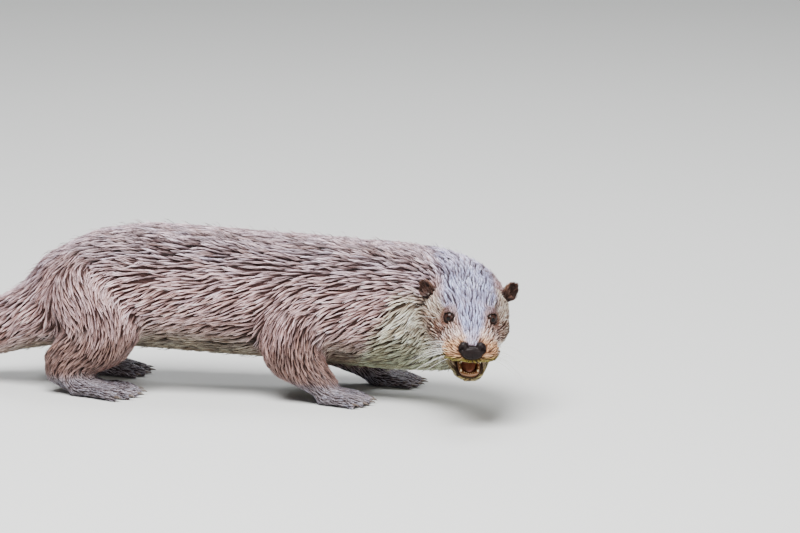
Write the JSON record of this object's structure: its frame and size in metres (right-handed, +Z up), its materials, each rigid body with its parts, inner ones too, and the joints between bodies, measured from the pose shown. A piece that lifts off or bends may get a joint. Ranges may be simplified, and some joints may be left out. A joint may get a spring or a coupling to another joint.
{
  "type": "eurasian otter",
  "caption": "Life-size otter standing low on four short legs, head lowered and turned to its right, mouth a little open, tail laid out behind.",
  "frame": {"origin": "middle of the model's box, at floor level", "axes": "+X from the tail to the head end of the trunk, +Y to the otter's left, +Z up; the head looks towards -Y"},
  "size_m": [0.9186, 0.3676, 0.1723],
  "materials": {
    "fur_body": "wet brown coat in pointed locks, paler at the tips",
    "fur_face": "short close coat, blue-grey on the crown and tan on the muzzle",
    "fur_pale": "short cream coat of the chin and throat",
    "fur_paws": "very short coat over webbed toes",
    "nose": "damp dark skin with fine grain",
    "eyes": "wet and glossy",
    "tongue": "moist",
    "teeth": "smooth enamel",
    "claws": "dark horn"
  },
  "bodies": {
    "root": {"chest": "fur_body", "ear_left": "fur_face", "ear_right": "fur_face", "eye_left": "eyes", "eye_right": "eyes", "fore_left_claw_1": "claws", "fore_left_claw_2": "claws", "fore_left_claw_3": "claws", "fore_left_claw_4": "claws", "fore_left_claw_5": "claws", "fore_left_leg": "fur_body", "fore_left_paw": "fur_paws", "fore_right_claw_1": "claws", "fore_right_claw_2": "claws", "fore_right_claw_3": "claws", "fore_right_claw_4": "claws", "fore_right_claw_5": "claws", "fore_right_leg": "fur_body", "fore_right_paw": "fur_paws", "head": "fur_face", "hind_left_claw_1": "claws", "hind_left_claw_2": "claws", "hind_left_claw_3": "claws", "hind_left_claw_4": "claws", "hind_left_claw_5": "claws", "hind_left_leg": "fur_body", "hind_left_paw": "fur_paws", "hind_right_claw_1": "claws", "hind_right_claw_2": "claws", "hind_right_claw_3": "claws", "hind_right_claw_4": "claws", "hind_right_claw_5": "claws", "hind_right_leg": "fur_body", "hind_right_paw": "fur_paws", "loin": "fur_body", "lower_canine_left": "teeth", "lower_canine_right": "teeth", "lower_jaw": "fur_pale", "neck": "fur_body", "nose_pad": "nose", "rump": "fur_body", "tail_middle": "fur_body", "tail_root": "fur_body", "tail_tip": "fur_body", "tongue": "tongue", "upper_canine_left": "teeth", "upper_canine_right": "teeth"}
  },
  "joints": []
}
